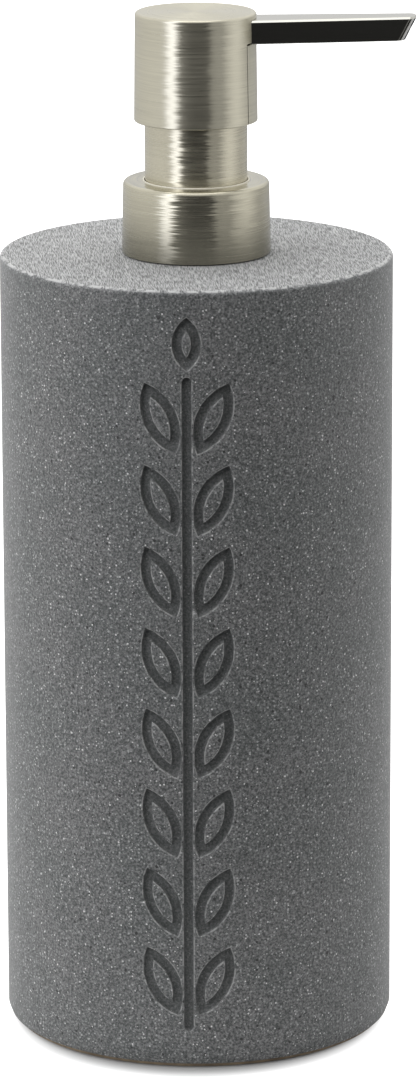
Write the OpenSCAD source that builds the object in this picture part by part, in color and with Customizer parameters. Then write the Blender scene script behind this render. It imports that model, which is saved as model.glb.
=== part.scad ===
// Soap pump dispenser: a stone-effect cylinder bottle with a metal lotion pump on a screw closure.
// +Z is up. The origin is on the bottle's axis, on the surface that the bottle stands on.
// At rest the nozzle points along +X, and the engraved sprig faces -Y.

/* [Bottle] */
// Outside diameter of the bottle
body_d = 75; // [72:1:90]
// Height of the bottle's top face above the table
body_h = 151.3; // [135:0.1:175]
// Thickness of the side wall
wall_t = 7; // [6:0.5:8]
// Thickness of the top wall around the neck
top_t = 9; // [7:0.5:10]
// Radius on the top and bottom edges
edge_r = 1; // [0.6:0.1:2]
// Thickness of the soft pad under the base
pad_t = 0.8; // [0.6:0.1:1.5]

/* [Engraving] */
// Pairs of leaves on the sprig
leaf_pairs = 8; // [3:1:8]
// Length of one leaf
leaf_l = 14.5; // [12:0.5:15]
// Width of one leaf
leaf_w = 6.4; // [5.4:0.1:6.6]
// Lean of each leaf away from the stem, in degrees
leaf_tilt = 24; // [15:1:26]
// Width of the engraved line
stroke_w = 1.8; // [1.2:0.1:2]
// Depth of the engraved line
engrave_depth = 1; // [0.6:0.1:1.5]

/* [Neck and closure] */
// Diameter over the neck's thread
thread_d = 23.5; // [23:0.1:23.7]
// Pitch of the neck's thread
pitch = 3.18; // [3:0.01:3.3]
// Diameter of the metal collar at its foot
collar_d = 28.4; // [28.2:0.1:30]
// Diameter of the metal collar at its top
collar_top_d = 27.8; // [27.8:0.1:30]

/* [Pump] */
// Stroke of the head
stroke = 10.2; // [6:0.2:10.2]
// Diameter of the riser sleeve between collar and head
sleeve_d = 19.5; // [19.4:0.1:19.5]
// Height of the riser sleeve that shows between collar and head
sleeve_show = 11.45; // [11.05:0.05:12.75]
// Coils in the return spring
spring_coils = 7; // [5:1:7]
// Gap between the dip tube's foot and the bottle's floor
tube_gap = 4; // [2:1:10]

/* [Head and nozzle] */
// Diameter of the head at its foot
head_d = 23.5; // [23.4:0.1:25]
// Diameter of the head at its top
head_top_d = 23; // [22.8:0.1:24.5]
// Height of the head
head_h = 20.7; // [20.5:0.1:22]
// Distance from the pump's axis to the nozzle's tip
nozzle_reach = 41.9; // [30:0.1:60]
// Width of the nozzle where it leaves the head
nozzle_w = 8.3; // [6.5:0.1:8.5]
// Width of the nozzle at its tip
nozzle_tip_w = 5.4; // [4.4:0.1:6]
// Height of the nozzle's section
nozzle_t = 4.5; // [4.2:0.1:4.5]
// Rise of the nozzle towards its tip, in degrees
nozzle_rise = 1.2; // [0:0.1:1.2]
// Undercut of the nozzle's end face, in degrees from upright
nozzle_undercut = 28; // [0:1:40]

/* [Hidden] */
$fn = 96;

// Clearances
run_gap = 0.06;    // radial gap of a running fit
side_gap = 0.3;    // between curved faces that pass each other
face_gap = 0.1;    // between flat faces of pieces that move apart
foot_gap = 0.15;   // between the closure and the face that it stands over
seam_gap = 0.35;   // visible seam around the filler strip
seat_gap = 0.02;   // between a resting ball and its seat
fit_gap = 0.05;    // between pieces that are bonded or snapped together
over = 1;          // how far a cutter runs past the face that it opens
end_block = 20;    // side of a block that cuts a whole end away

// Bottle
body_r = body_d / 2;
cavity_r = body_r - wall_t;
plug_t = 5.2;
plug_seat_w = 2;       // how much wider the plug is than the cavity
plug_r = cavity_r + plug_seat_w;
plug_top = pad_t + plug_t;
ceiling = body_h - top_t;
pad_inset = 0.2;       // from the start of the bottom edge's radius to the pad's rim
pad_r = body_r - edge_r - pad_inset;

// Engraved sprig, drawn in the plane that faces -Y
sprig_lo = 7.5;
sprig_hi = body_h - 5;
bud_l = 10;
bud_w = 5.4;
bud_gap = 1.3;
leaf_x = 5;
stem_top = sprig_hi - bud_l - bud_gap;
leaves_lo = sprig_lo + 2;
leaf_pitch = (stem_top - leaves_lo) / leaf_pairs;

// Neck insert and its thread
neck_bore = 9.3;
barrel_r = 11.5;
neck_flange_r = 13;
neck_flange_top = body_h + 1.5;
neck_top = body_h + 9.7;
thread_root = thread_d / 2 - 1.1;
thread_crest = thread_d / 2;
ridge_foot = 1.5;      // axial width of a thread ridge at its foot
ridge_tip = 0.9;       // axial width of a thread ridge at its crest
ridge_bury = 0.3;      // how deep a ridge runs into the wall that carries it
thread_lo = neck_flange_top + 1.6;
thread_turns = 1.5;
turn_steps = 36;

// Closure nut and collar
nut_bore = thread_crest + 0.25;
nut_crest = thread_root + side_gap;
nut_r = 13.2;
gasket_t = 0.9;
gasket_in = neck_bore + 0.2;
pump_flange_lo = neck_top + gasket_t;
pump_flange_hi = pump_flange_lo + 1.2;
pump_flange_r = 11.2;
plate_lo = pump_flange_hi + face_gap;
plate_hi = plate_lo + 1.4;
plate_hole = 8.6;
collar_lo = body_h + foot_gap;
collar_hi = plate_hi + 0.7;
collar_edge = 0.9;
collar_bore = sleeve_d / 2 + 0.12;
bead_w = 0.3;          // raised bead round the collar's bore
bead_h = 0.16;

// Pump cylinder
bore_r = 6.5;
cylinder_r = 7.5;
nose_r = 5;
nose_top = body_h - 26;
nose_lo = body_h - 39.3;
tube_stop = nose_lo + 8.5;
ball_seat = tube_stop + 1.5;
ball_pocket_r = 3;
retainer_lo = ball_seat + 5.8;
retainer_hi = retainer_lo + 1.2;
retainer_hole_r = 1.4;
retainer_port_r = 0.7;
intake_hole_r = 1.7;
intake_ball_r = 2.4;
intake_ball_z = ball_seat + sqrt(pow(intake_ball_r, 2) - pow(intake_hole_r, 2)) + seat_gap;
vent_r = 0.6;
vent_z = neck_top - 5;
tube_r = 2.6;
tube_bore = 1.8;
tube_lo = plug_top + tube_gap;
tube_cut = 35;         // slope of the dip tube's foot, in degrees

// Piston, stem and their guides
stem_r = 3.3;
stem_bore = 1.2;
plug_shank_r = 1.6;
plug_shank_l = 3.2;
plug_flange_r = 5.2;
plug_bore = 0.9;
piston_lo = body_h - 1.3;
piston_hi = piston_lo + 7;
piston_r = bore_r - run_gap;
piston_waist_r = 5.6;
piston_lip = 1.5;
stem_lo = piston_lo - 0.2;
spring_hi = stem_lo - 1.2;
shoulder_lo = piston_hi + 0.2;
shoulder_hi = shoulder_lo + 1;
shoulder_r = 4.6;
wiper_lo = shoulder_hi + 0.4;
chaplet_lo = wiper_lo + 1.6;
chaplet_neck_r = 8.4;
chaplet_flange_lo = plate_hi + face_gap;
chaplet_flange_hi = chaplet_flange_lo + 1;
tower_r = 5.5;
sleeve_r = sleeve_d / 2;
sleeve_in = sleeve_r - 0.6;
sleeve_lo = plate_hi + 0.2;
sleeve_top_out = collar_hi + sleeve_show;
sleeve_hi = sleeve_top_out + 1.8;
tower_hi = sleeve_hi - 2.3;

// Return spring
wire_r = 0.45;
coil_r = 4.75;
wire_sides = 8;
coil_steps = 20;
dead_coils = 1;
spring_l = spring_hi - retainer_hi;
active_pitch = (spring_l - 2 * wire_r - 4 * dead_coils * wire_r) / (spring_coils - 2 * dead_coils);

// Head
head_lo = sleeve_top_out;
head_hi = head_lo + head_h;
nozzle_drop = 3.35;    // from the head's top down to the nozzle's centre line
nozzle_z = head_hi - nozzle_drop;
head_edge = 0.5;
head_roof = 1;
core_r = 10.9;
core_skirt_in = sleeve_r + side_gap;
core_skirt_lo = head_lo + 1.5;
core_web = head_hi - 7.8;
core_hi = head_hi - head_roof - 0.1;
boss_r = 4.6;
boss_lo = core_web - 2.8;
stem_hi = core_web + 2.6;
discharge_seat = stem_hi - 5.5;
discharge_chamber_r = 2.2;
discharge_ball_r = 1.8;
discharge_ball_z = discharge_seat + sqrt(pow(discharge_ball_r, 2) - pow(stem_bore, 2)) + seat_gap;
core_passage_r = 1.3;
slot_half = 5.9;
slot_hi = nozzle_z - nozzle_t / 2 + seam_gap;
port_half = nozzle_w / 2 + face_gap;
filler_half = slot_half - seam_gap;
filler_hi = nozzle_z - nozzle_t / 2 - fit_gap;
filler_sink = 0.02;    // how far the filler strip lies below the head's side

// Nozzle, drawn in a frame whose origin is on its centre line at the head's wall
nozzle_x = 11.5;
bar_l = nozzle_reach - nozzle_x;
bar_root = 3.9;
bar_corner_r = 1.65;
pocket_half = bar_half(-bar_root) + fit_gap;
liner_r = 1.6;
liner_bore = 1.1;
liner_root = 9.9;
liner_sink = 0.3;      // how far the liner stops short of the nozzle's end face

function bar_half(x) = nozzle_w / 2 - x * (nozzle_w - nozzle_tip_w) / (2 * bar_l);

// ---- shapes that repeat ----

module rod(r, lo, hi) translate([0, 0, lo]) cylinder(r = r, h = hi - lo);

module ring(outer, inner, lo, hi) {
  difference() {
    rod(outer, lo, hi);
    rod(inner, lo - over, hi + over);
  }
}

// Turned puck with the same radius on both of its edges
module puck(r, lo, hi, edge) {
  translate([0, 0, lo]) rotate_extrude() {
    square([r - edge, hi - lo]);
    translate([0, edge]) square([r, hi - lo - 2 * edge]);
    for (y = [edge, hi - lo - edge]) translate([r - edge, y]) circle(edge);
  }
}

// Turned cup outline: slightly tapered side and one rounded top edge, solid to the axis
module tapered_cap(r_lo, r_hi, lo, hi, edge) {
  rotate_extrude() {
    polygon([[0, lo], [r_lo, lo], [r_hi, hi - edge], [r_hi - edge, hi - edge], [r_hi - edge, hi], [0, hi]]);
    translate([r_hi - edge, hi - edge]) circle(edge);
  }
}

// Joins closed loops of points, one after the other, into one solid
module swept(rings) {
  n = len(rings[0]);
  last = len(rings) - 1;
  sides = [for (i = [0 : last - 1], j = [0 : n - 1])
    let (a = i * n + j, b = i * n + (j + 1) % n)
    each [[a, b, b + n], [a, b + n, a + n]]];
  foot = [[for (j = [n - 1 : -1 : 0]) j]];
  head = [[for (j = [0 : n - 1]) last * n + j]];
  polyhedron(points = [for (r = rings) each r], faces = concat(foot, sides, head));
}

// Right-hand thread ridge. Its foot is at radius foot_r and its crest at crest_r.
module thread_ridge(foot_r, crest_r, z0, start_deg) {
  steps = thread_turns * turn_steps;
  inner = min(foot_r, crest_r);
  outer = max(foot_r, crest_r);
  w_in = inner == foot_r ? ridge_foot : ridge_tip;
  w_out = inner == foot_r ? ridge_tip : ridge_foot;
  swept([for (i = [0 : steps])
    let (a = start_deg + i * 360 / turn_steps, z = z0 + pitch * i / turn_steps)
    [[inner * cos(a), inner * sin(a), z - w_in / 2],
     [outer * cos(a), outer * sin(a), z - w_out / 2],
     [outer * cos(a), outer * sin(a), z + w_out / 2],
     [inner * cos(a), inner * sin(a), z + w_in / 2]]]);
}

// Pointed leaf, long axis upright: two equal arcs. inset moves both arcs inwards.
module lens(l, w, inset = 0) {
  arc_r = (l * l + w * w) / (4 * w);
  intersection() {
    translate([arc_r - w / 2, 0]) circle(arc_r - inset);
    translate([w / 2 - arc_r, 0]) circle(arc_r - inset);
  }
}

module leaf_outline(l, w) {
  difference() {
    lens(l, w);
    lens(l, w, stroke_w);
  }
}

module sprig() {
  translate([0, sprig_lo + stroke_w / 2]) circle(stroke_w / 2);
  translate([0, stem_top - stroke_w / 2]) circle(stroke_w / 2);
  translate([-stroke_w / 2, sprig_lo + stroke_w / 2]) square([stroke_w, stem_top - sprig_lo - stroke_w]);
  for (i = [0 : leaf_pairs - 1], side = [-1, 1])
    translate([side * leaf_x, leaves_lo + (i + 0.5) * leaf_pitch])
      rotate(-side * leaf_tilt) leaf_outline(leaf_l, leaf_w);
  translate([0, sprig_hi - bud_l / 2]) leaf_outline(bud_l, bud_w);
}

// Places its children in the nozzle's own frame: x along the nozzle, z across its height
module in_nozzle_frame() translate([nozzle_x, 0, nozzle_z]) rotate([0, -nozzle_rise, 0]) children();

// Solid beyond the nozzle's undercut end face, moved back along the nozzle by setback
module beyond_tip(setback = 0) {
  translate([bar_l - setback, 0, nozzle_t / 2]) rotate([0, nozzle_undercut, 0])
    translate([0, -end_block / 2, -end_block]) cube([end_block, end_block, 2 * end_block]);
}

module bar_plan() {
  x1 = bar_l - bar_corner_r;
  y1 = nozzle_tip_w / 2 - bar_corner_r;
  polygon([[-bar_root, -bar_half(-bar_root)], [x1, -bar_half(x1)], [x1, bar_half(x1)],
           [-bar_root, bar_half(-bar_root)]]);
  translate([x1, -y1]) square([bar_corner_r, 2 * y1]);
  for (y = [-y1, y1]) translate([x1, y]) circle(bar_corner_r);
}

// ---- bottle ----

module bottle_shell() color("dimgray") {
  difference() {
    puck(body_r, pad_t, body_h, edge_r);
    rod(plug_r + fit_gap, pad_t - over, plug_top);
    rod(cavity_r, pad_t, ceiling);
    rod(barrel_r, ceiling - over, body_h + over);
    intersection() {
      ring(body_r + over, body_r - engrave_depth, pad_t, body_h);
      rotate([90, 0, 0]) linear_extrude(body_r + 2 * over) sprig();
    }
  }
}

module base_plug() color("gray") rod(plug_r, pad_t, plug_top);

module base_pad() color("tan") rod(pad_r, 0, pad_t);

module neck_insert() color("white") {
  difference() {
    union() {
      rod(barrel_r, ceiling - 1, body_h);
      rod(neck_flange_r, body_h, neck_flange_top);
      rod(thread_root, neck_flange_top, neck_top);
      thread_ridge(thread_root - ridge_bury, thread_crest, thread_lo, 0);
    }
    rod(neck_bore, ceiling - 1 - over, neck_top + over);
  }
}

// ---- closure ----

module closure_nut() color("whitesmoke") {
  difference() {
    rod(nut_r, neck_flange_top + foot_gap, plate_hi);
    rod(nut_bore, body_h, plate_lo);
    rod(plate_hole, plate_lo - over, plate_hi + over);
  }
  thread_ridge(nut_bore + ridge_bury, nut_crest, thread_lo, 180);
}

module collar_shell() color("tan") {
  difference() {
    union() {
      tapered_cap(collar_d / 2, collar_top_d / 2, collar_lo, collar_hi, collar_edge);
      rod(collar_bore + bead_w, plate_hi, collar_hi + bead_h);
    }
    rod(nut_r, collar_lo - over, plate_hi);
    rod(collar_bore, collar_lo, collar_hi + over);
  }
}

// ---- pump unit ----

module neck_gasket() color("lightgray") ring(pump_flange_r, gasket_in, neck_top, pump_flange_lo);

module pump_cylinder() color("white") {
  difference() {
    union() {
      rod(pump_flange_r, pump_flange_lo, pump_flange_hi);
      rod(cylinder_r, nose_top, pump_flange_lo);
      rod(nose_r, nose_lo, nose_top);
    }
    rod(bore_r, retainer_lo, pump_flange_hi + over);
    rod(ball_pocket_r, ball_seat, retainer_lo);
    rod(intake_hole_r, tube_stop, ball_seat);
    rod(tube_r, nose_lo - over, tube_stop);
    translate([0, bore_r - over, vent_z]) rotate([-90, 0, 0])
      cylinder(r = vent_r, h = cylinder_r - bore_r + 2 * over);
  }
}

module ball_retainer() color("white") {
  difference() {
    rod(bore_r, retainer_lo, retainer_hi);
    rod(retainer_hole_r, retainer_lo - over, retainer_hi + over);
    for (a = [45 : 90 : 315])
      rotate(a) translate([ball_pocket_r, 0, 0])
        rod(retainer_port_r, retainer_lo - over, retainer_hi + over);
  }
}

module intake_ball() color("lightblue") translate([0, 0, intake_ball_z]) sphere(intake_ball_r);

module dip_tube() color("ghostwhite") {
  difference() {
    ring(tube_r, tube_bore, tube_lo, tube_stop);
    translate([0, 0, tube_lo]) rotate([0, tube_cut, 0])
      translate([-end_block / 2, -end_block / 2, -end_block]) cube(end_block);
  }
}

function spring_z(t) = retainer_hi + wire_r + (
  t <= dead_coils ? t * 2 * wire_r :
  t >= spring_coils - dead_coils ? spring_l - 2 * wire_r - (spring_coils - t) * 2 * wire_r :
  dead_coils * 2 * wire_r + (t - dead_coils) * active_pitch);

module return_spring() color("silver") {
  swept([for (i = [0 : spring_coils * coil_steps])
    let (a = i * 360 / coil_steps, z = spring_z(i / coil_steps))
    [for (j = [0 : wire_sides - 1])
      let (b = j * 360 / wire_sides, r = coil_r + wire_r * cos(b))
      [r * cos(a), r * sin(a), z + wire_r * sin(b)]]]);
}

module piston() color("whitesmoke") {
  difference() {
    union() {
      rod(piston_waist_r, piston_lo, piston_hi);
      rod(piston_r, piston_lo, piston_lo + piston_lip);
      rod(piston_r, piston_hi - piston_lip, piston_hi);
    }
    rod(stem_r + run_gap, piston_lo - over, piston_hi + over);
  }
}

module stem_wiper() color("lightgray") ring(bore_r, stem_r + run_gap, wiper_lo, chaplet_lo);

module chaplet() color("white") {
  difference() {
    union() {
      rod(bore_r, chaplet_lo, pump_flange_hi);
      rod(chaplet_neck_r, pump_flange_hi, chaplet_flange_lo);
      rod(sleeve_in, chaplet_flange_lo, chaplet_flange_hi);
      rod(tower_r, chaplet_flange_hi, tower_hi);
    }
    rod(stem_r + run_gap, chaplet_lo - over, tower_hi + over);
  }
}

module riser_sleeve() color("tan") ring(sleeve_r, sleeve_in, sleeve_lo, sleeve_hi);

// ---- head ----

module stem() color("whitesmoke") {
  difference() {
    union() {
      rod(stem_r, stem_lo, stem_hi);
      rod(shoulder_r, shoulder_lo, shoulder_hi);
    }
    rod(stem_bore, stem_lo - over, discharge_seat);
    rod(plug_shank_r, stem_lo - over, stem_lo + plug_shank_l);
    rod(discharge_chamber_r, discharge_seat, stem_hi + over);
  }
}

module stem_plug() color("white") {
  difference() {
    union() {
      rod(plug_flange_r, spring_hi, stem_lo);
      rod(plug_shank_r, stem_lo, stem_lo + plug_shank_l);
    }
    rod(plug_bore, spring_hi - over, stem_lo + plug_shank_l + over);
  }
}

module discharge_ball() color("silver") translate([0, 0, discharge_ball_z]) sphere(discharge_ball_r);

module actuator_core() color("whitesmoke") {
  difference() {
    union() {
      rod(core_r, core_web, core_hi);
      ring(core_r, core_skirt_in, core_skirt_lo, core_web + over);
      rod(boss_r, boss_lo, core_web);
    }
    rod(stem_r, boss_lo - over, stem_hi);
    rod(core_passage_r, stem_hi - over, nozzle_z);
    in_nozzle_frame() {
      translate([-nozzle_x - core_passage_r, 0, 0]) rotate([0, 90, 0]) cylinder(r = liner_r, h = nozzle_x);
      translate([-bar_root - face_gap, -pocket_half, -nozzle_t / 2 - fit_gap])
        cube([2 * bar_root, 2 * pocket_half, nozzle_t + 2 * over]);
    }
  }
}

module head_shell() color("tan") {
  difference() {
    tapered_cap(head_d / 2, head_top_d / 2, head_lo, head_hi, head_edge);
    rod(core_r, head_lo - over, head_hi - head_roof);
    translate([nozzle_x / 2, -slot_half, head_lo - over])
      cube([nozzle_x, 2 * slot_half, slot_hi - head_lo + over]);
    in_nozzle_frame() translate([-nozzle_x / 2, -port_half, -nozzle_t / 2 - face_gap])
      cube([nozzle_x, 2 * port_half, nozzle_t + face_gap + fit_gap]);
  }
}

module slot_filler() color("silver") {
  intersection() {
    difference() {
      tapered_cap(head_d / 2 - filler_sink, head_top_d / 2 - filler_sink, head_lo, head_hi, head_edge);
      rod(core_r, head_lo - over, head_hi);
    }
    translate([nozzle_x / 2, -filler_half, head_lo])
      cube([nozzle_x, 2 * filler_half, filler_hi - head_lo]);
  }
}

// Leans its children back towards the head below the nozzle's top face
module undercut_lean() {
  slope = tan(nozzle_undercut);
  multmatrix([[1, 0, slope, -slope * nozzle_t / 2], [0, 1, 0, 0], [0, 0, 1, 0]]) children();
}

module nozzle_bar() color("tan") {
  in_nozzle_frame() difference() {
    intersection() {
      undercut_lean() translate([0, 0, -nozzle_t / 2]) linear_extrude(nozzle_t) bar_plan();
      translate([-bar_root, -nozzle_w, -nozzle_t]) cube([bar_root + bar_l, 2 * nozzle_w, 2 * nozzle_t]);
    }
    translate([-bar_root - over, 0, 0]) rotate([0, 90, 0]) cylinder(r = liner_r, h = bar_l + 2 * bar_root);
  }
}

module spout_liner() color("white") {
  in_nozzle_frame() difference() {
    translate([-liner_root, 0, 0]) rotate([0, 90, 0]) cylinder(r = liner_r, h = bar_l + liner_root);
    translate([-liner_root - over, 0, 0]) rotate([0, 90, 0])
      cylinder(r = liner_bore, h = bar_l + liner_root + 2 * over);
    beyond_tip(liner_sink);
  }
}

bottle_shell();
base_plug();
base_pad();
neck_insert();
neck_gasket();
pump_cylinder();
ball_retainer();
intake_ball();
dip_tube();
return_spring();
piston();
stem_wiper();
chaplet();
riser_sleeve();
closure_nut();
collar_shell();
stem();
stem_plug();
discharge_ball();
actuator_core();
head_shell();
slot_filler();
nozzle_bar();
spout_liner();
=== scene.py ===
"""Looks of the soap pump dispenser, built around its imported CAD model.

Row frame, in metres: +Z up, the bottle stands on z = 0, the nozzle points along +X and the
engraved sprig faces -Y. Shapes below are worked out in millimetres and scaled as they are made.
"""
import math

import bmesh
import bpy
import numpy as np
from mathutils import Matrix, Vector, geometry, noise


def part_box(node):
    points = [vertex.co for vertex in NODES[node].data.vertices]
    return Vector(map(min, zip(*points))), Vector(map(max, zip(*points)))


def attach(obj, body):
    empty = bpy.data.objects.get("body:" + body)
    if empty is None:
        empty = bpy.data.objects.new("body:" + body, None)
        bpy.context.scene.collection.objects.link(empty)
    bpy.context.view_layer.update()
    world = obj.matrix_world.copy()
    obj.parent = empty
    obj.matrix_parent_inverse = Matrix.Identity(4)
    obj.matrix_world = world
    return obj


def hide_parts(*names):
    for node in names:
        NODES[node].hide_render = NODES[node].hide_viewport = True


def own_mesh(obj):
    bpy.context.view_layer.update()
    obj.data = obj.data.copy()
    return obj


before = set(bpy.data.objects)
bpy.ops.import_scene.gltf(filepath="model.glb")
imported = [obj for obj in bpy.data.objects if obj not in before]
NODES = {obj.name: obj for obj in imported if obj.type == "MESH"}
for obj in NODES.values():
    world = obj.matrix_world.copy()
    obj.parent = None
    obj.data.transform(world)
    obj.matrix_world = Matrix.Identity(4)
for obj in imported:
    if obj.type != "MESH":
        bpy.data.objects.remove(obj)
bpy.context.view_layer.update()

MM = 0.001


# ---------------------------------------------------------------- sizes, from the frame

def box_mm(node):
    """A node's box as two corners, in millimetres."""
    lo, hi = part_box(node)
    return Vector(lo) / MM, Vector(hi) / MM


shell_lo, shell_hi = box_mm("bottle_shell")
BODY_R = shell_hi.x
BODY_LO = shell_lo.z
BODY_HI = shell_hi.z
BODY_EDGE = 1.0

plug_hi = box_mm("base_plug")[1]
PLUG_GAP = 0.05                                # between the plug and its seat
PAD_R = box_mm("base_pad")[1].x
CAVITY_R = BODY_R - 7
CEILING = BODY_HI - 9
NECK_HOLE_R = 11.5

BEAD_H = 0.16
collar_lo, collar_hi = box_mm("collar_shell")
collar_hi.z -= BEAD_H                          # the collar's top face, below its bead
COLLAR_R = collar_hi.x
COLLAR_TOP_R = COLLAR_R - 0.3
NUT_R = box_mm("closure_nut")[1].x
NUT_TOP = box_mm("closure_nut")[1].z

sleeve_lo, sleeve_hi = box_mm("riser_sleeve")
SLEEVE_R = sleeve_hi.x
SLEEVE_WALL = 0.6

head_lo, head_hi = box_mm("head_shell")
HEAD_R = head_hi.y
HEAD_TOP_R = HEAD_R - 0.25
CORE_R = box_mm("actuator_core")[1].y
HEAD_ROOF = 1.0                                # thickness of the head's top

filler_lo, filler_hi = box_mm("slot_filler")
SEAM = 0.35                                    # dark gap between the filler strip and the head
FILLER_SUNK = 0.03                             # the strip lies this much inside the head's skin
FILLER_LEAN = 0.2                              # and leans back this much more at its top

NOZZLE_X = 11.5
NOZZLE_Z = head_hi.z - 3.35
NOZZLE_REACH = 41.9
NOZZLE_W = 8.3
NOZZLE_TIP_W = 5.4
NOZZLE_T = 4.5
NOZZLE_RISE = math.radians(1.2)
NOZZLE_UNDERCUT = math.radians(28)             # lean of the end face, under the top's edge
BAR_L = NOZZLE_REACH - NOZZLE_X
BAR_ROOT = 3.9                                 # part of the bar that is inside the head
NOZZLE_CORNER = 1.65
LINER_R = 1.6


# ---------------------------------------------------------------- mesh helpers

SHARP = math.radians(30)                       # edges that turn further are bevelled


def closed_mesh(name, verts, faces):
    """Mesh of a closed shape given in millimetres, with its faces turned outwards."""
    mesh = bpy.data.meshes.new(name)
    mesh.from_pydata([tuple(c * MM for c in v) for v in verts], [], faces)
    mesh.validate()
    bm = bmesh.new()
    bm.from_mesh(mesh)
    bmesh.ops.recalc_face_normals(bm, faces=bm.faces)
    bm.to_mesh(mesh)
    bm.free()
    return mesh


def new_piece(name, verts, faces, material, body, slot, replaces):
    """A visible piece that rides a body and stands in for CAD nodes."""
    mesh = closed_mesh(name, verts, faces)
    piece = bpy.data.objects.new(name, mesh)
    bpy.context.scene.collection.objects.link(piece)
    mesh.materials.append(material)
    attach(piece, body)
    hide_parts(*replaces)
    return piece


def smooth(piece, sharp_deg=35):
    """Smooth shading that keeps flat faces flat and corners past sharp_deg sharp."""
    mesh = piece.data
    mesh.shade_smooth()
    mesh.set_sharp_from_angle(angle=math.radians(sharp_deg))
    modifier = piece.modifiers.new("weighted", "WEIGHTED_NORMAL")
    modifier.keep_sharp = True
    modifier.weight = 80
    return piece


def filleted(corners, steps=5):
    """Outline through (x, y, radius) corners, each rounded by an arc. A radius of 0 stays sharp."""
    out = []
    n = len(corners)
    for i, (x, y, r) in enumerate(corners):
        p = Vector((x, y))
        if r <= 0:
            out.append((x, y))
            continue
        a = (Vector(corners[i - 1][:2]) - p).normalized()
        b = (Vector(corners[(i + 1) % n][:2]) - p).normalized()
        half = math.acos(max(-1, min(1, a.dot(b)))) / 2
        reach = r / math.tan(half)
        centre = p + (a + b).normalized() * (r / math.sin(half))
        start = (p + a * reach) - centre
        end = (p + b * reach) - centre
        turn = math.atan2(start.x * end.y - start.y * end.x, start.dot(end))
        for k in range(steps + 1):
            t = turn * k / steps
            c, s = math.cos(t), math.sin(t)
            q = centre + Vector((start.x * c - start.y * s, start.x * s + start.y * c))
            out.append((q.x, q.y))
    return out


def turned(outline, columns):
    """Solid of revolution about Z of a closed (r, z) outline. Points with r = 0 become poles."""
    verts, rows = [], []
    for r, z in outline:
        if r < 1e-6:
            rows.append([len(verts)] * columns)
            verts.append((0, 0, z))
            continue
        rows.append(list(range(len(verts), len(verts) + columns)))
        for k in range(columns):
            a = 2 * math.pi * k / columns
            verts.append((r * math.cos(a), r * math.sin(a), z))
    faces = []
    for i, low in enumerate(rows):
        high = rows[(i + 1) % len(rows)]
        if low[0] == low[1] and high[0] == high[1]:
            continue
        for k in range(columns):
            m = (k + 1) % columns
            quad = [low[k], low[m], high[m], high[k]]
            faces.append(tuple(dict.fromkeys(quad)))
    return verts, faces


def boolean_cut(piece, verts, faces):
    """Takes a closed cutter, in millimetres, out of the piece's own mesh."""
    mesh = closed_mesh("cutter", verts, faces)
    cutter = bpy.data.objects.new("cutter", mesh)
    bpy.context.scene.collection.objects.link(cutter)
    modifier = piece.modifiers.new("cut", "BOOLEAN")
    modifier.operation = "DIFFERENCE"
    modifier.solver = "EXACT"
    modifier.object = cutter
    bpy.context.view_layer.update()
    shown = piece.evaluated_get(bpy.context.evaluated_depsgraph_get())
    made = bpy.data.meshes.new_from_object(shown)
    piece.modifiers.remove(modifier)
    piece.data = made
    bpy.data.objects.remove(cutter)
    bpy.data.meshes.remove(mesh)


def block(lo, hi):
    """Closed box between two corners."""
    verts = [(x, y, z) for x in (lo[0], hi[0]) for y in (lo[1], hi[1]) for z in (lo[2], hi[2])]
    faces = [(0, 1, 3, 2), (4, 6, 7, 5), (0, 4, 5, 1), (2, 3, 7, 6), (0, 2, 6, 4), (1, 5, 7, 3)]
    return verts, faces


def along_x(outline, x_lo, x_hi):
    """Closed prism along x over a (y, z) outline."""
    n = len(outline)
    verts = [(x, y, z) for x in (x_lo, x_hi) for y, z in outline]
    faces = [(k, (k + 1) % n, n + (k + 1) % n, n + k) for k in range(n)]
    faces += [tuple(range(n)), tuple(range(2 * n - 1, n - 1, -1))]
    return verts, faces


def in_nozzle_frame(verts):
    """Moves points from the nozzle's own frame, x along it and z across it, to the row frame."""
    place = Matrix.Translation((NOZZLE_X, 0, NOZZLE_Z)) @ Matrix.Rotation(-NOZZLE_RISE, 4, "Y")
    return [tuple(place @ Vector(v)) for v in verts]


def circle(radius, sides):
    """Outline of a circle round the origin."""
    angles = [2 * math.pi * k / sides for k in range(sides)]
    return [(radius * math.cos(a), radius * math.sin(a)) for a in angles]


def bevel_sharp(piece, width, segments):
    """Rounds every edge of the mesh that is sharper than SHARP."""
    bm = bmesh.new()
    bm.from_mesh(piece.data)
    sharp = [e for e in bm.edges if len(e.link_faces) == 2 and e.calc_face_angle(0) > SHARP]
    bmesh.ops.bevel(bm, geom=sharp, offset=width * MM, segments=segments, profile=0.6,
                    affect="EDGES", clamp_overlap=True)
    bm.to_mesh(piece.data)
    bm.free()


# ---------------------------------------------------------------- material helpers

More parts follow.
